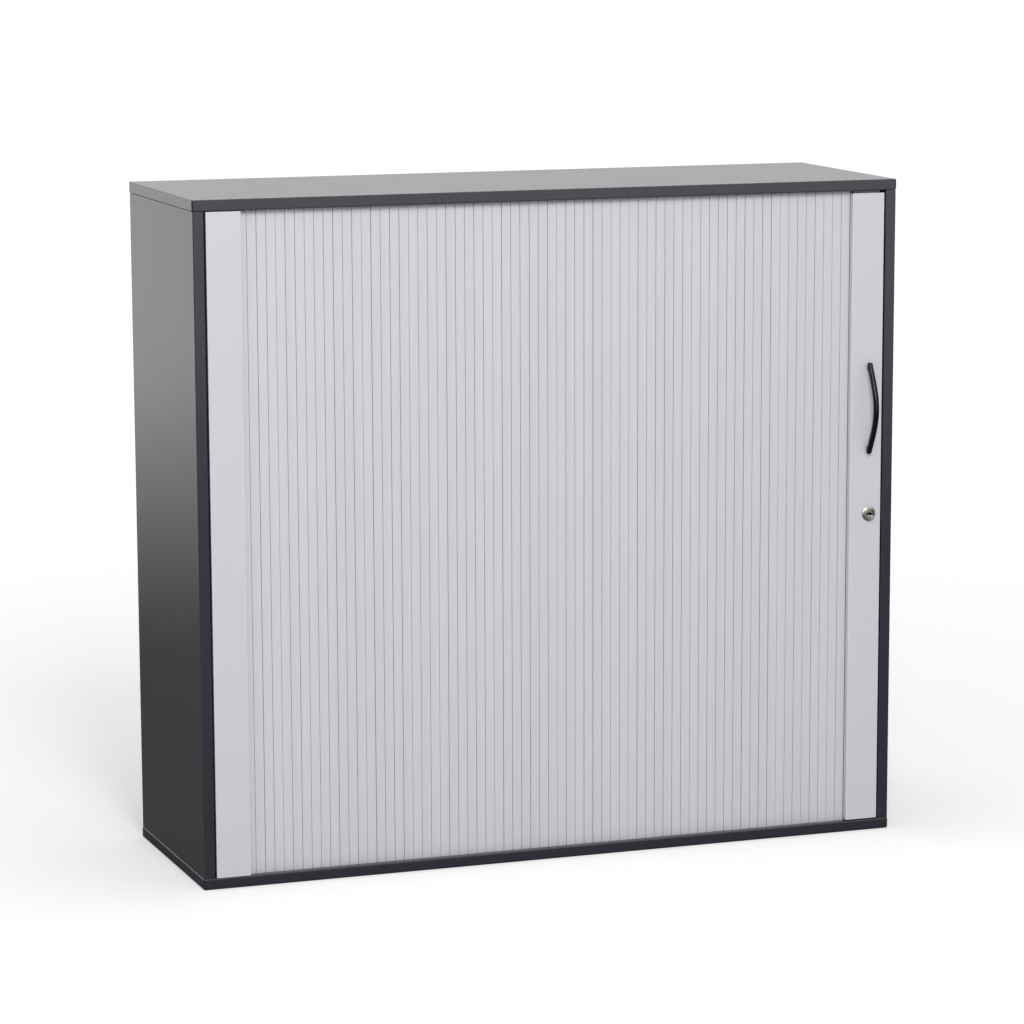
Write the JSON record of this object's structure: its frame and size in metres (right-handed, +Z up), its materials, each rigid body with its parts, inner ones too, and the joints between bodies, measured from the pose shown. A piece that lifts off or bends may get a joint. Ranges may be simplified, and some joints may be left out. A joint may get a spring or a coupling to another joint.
{
  "type": "tambour door cabinet",
  "caption": "Low office cabinet whose slatted curtain door slides sideways round a corner, with a bow handle, a hooked lock and file shelves behind it.",
  "frame": {"origin": "on the floor, under the middle of the carcass (the handle stands out in front of it)", "axes": "+Z up, -Y towards the front where the curtain is, +X to the right of someone who faces the front"},
  "size_m": [1.2, 0.425, 1.1],
  "materials": {
    "carcass_board": "anthracite faced board, satin",
    "back_board": "anthracite faced thin board, satin",
    "front_panel": "cool light grey, satin",
    "slats": "light grey, fine matt",
    "track_plastic": "dark grey, smooth",
    "glide_plastic": "mid grey, smooth",
    "handle_metal": "anthracite satin powder coat",
    "lock_nickel": "satin nickel plate",
    "steel": "bright zinc plated",
    "zinc_casting": "as cast",
    "rubber": "soft matt"
  },
  "bodies": {
    "carcass": {"top_panel": "carcass_board", "bottom_panel": "carcass_board", "left_side_panel": "carcass_board", "right_side_panel": "carcass_board", "back_panel": "back_board", "inner_back_panel": "back_board", "left_liner_panel": "carcass_board", "middle_partition": "carcass_board", "cam_fitting_left_front_upper": "zinc_casting", "cam_fitting_left_front_lower": "zinc_casting", "cam_fitting_left_rear_upper": "zinc_casting", "cam_fitting_left_rear_lower": "zinc_casting", "cam_fitting_right_front_upper": "zinc_casting", "cam_fitting_right_front_lower": "zinc_casting", "cam_fitting_right_rear_upper": "zinc_casting", "cam_fitting_right_rear_lower": "zinc_casting", "shelf_lower_left": "carcass_board", "shelf_lower_right": "carcass_board", "shelf_upper_left": "carcass_board", "shelf_upper_right": "carcass_board", "shelf_pin_lower_left_a": "steel", "shelf_pin_lower_left_b": "steel", "shelf_pin_lower_left_c": "steel", "shelf_pin_lower_left_d": "steel", "shelf_pin_lower_right_a": "steel", "shelf_pin_lower_right_b": "steel", "shelf_pin_lower_right_c": "steel", "shelf_pin_lower_right_d": "steel", "shelf_pin_upper_left_a": "steel", "shelf_pin_upper_left_b": "steel", "shelf_pin_upper_left_c": "steel", "shelf_pin_upper_left_d": "steel", "shelf_pin_upper_right_a": "steel", "shelf_pin_upper_right_b": "steel", "shelf_pin_upper_right_c": "steel", "shelf_pin_upper_right_d": "steel", "upper_guide_track": "track_plastic", "lower_guide_track": "track_plastic", "track_stop_upper": "track_plastic", "track_stop_lower": "track_plastic", "fixed_front_panel": "front_panel", "fixed_panel_clip_lower": "glide_plastic", "fixed_panel_clip_upper": "glide_plastic", "strike_plate": "steel", "door_buffer_lower": "rubber", "door_buffer_upper": "rubber", "shutter_curtain": "slats"},
    "door": {"leading_panel": "front_panel", "leading_cap_lower": "front_panel", "leading_cap_upper": "front_panel", "pull_handle": "handle_metal", "handle_screw_lower": "steel", "handle_screw_upper": "steel", "lock_barrel": "lock_nickel", "lock_nut": "steel"},
    "lock_cylinder": {"lock_plug": "lock_nickel", "hook_cam": "steel", "cam_screw": "steel"}
  },
  "joints": [
    {"name": "door_slide", "type": "slide", "parent": "carcass", "child": "door", "axis": [-1, 0, 0], "range_m": [0, 1.0415], "deforming": ["shutter_curtain"]},
    {"name": "lock_turn", "type": "hinge", "parent": "door", "child": "lock_cylinder", "pos_m": [0.5567, -0.19, 0.543], "axis": [0, 1, 0], "range_deg": [0, 90]}
  ]
}
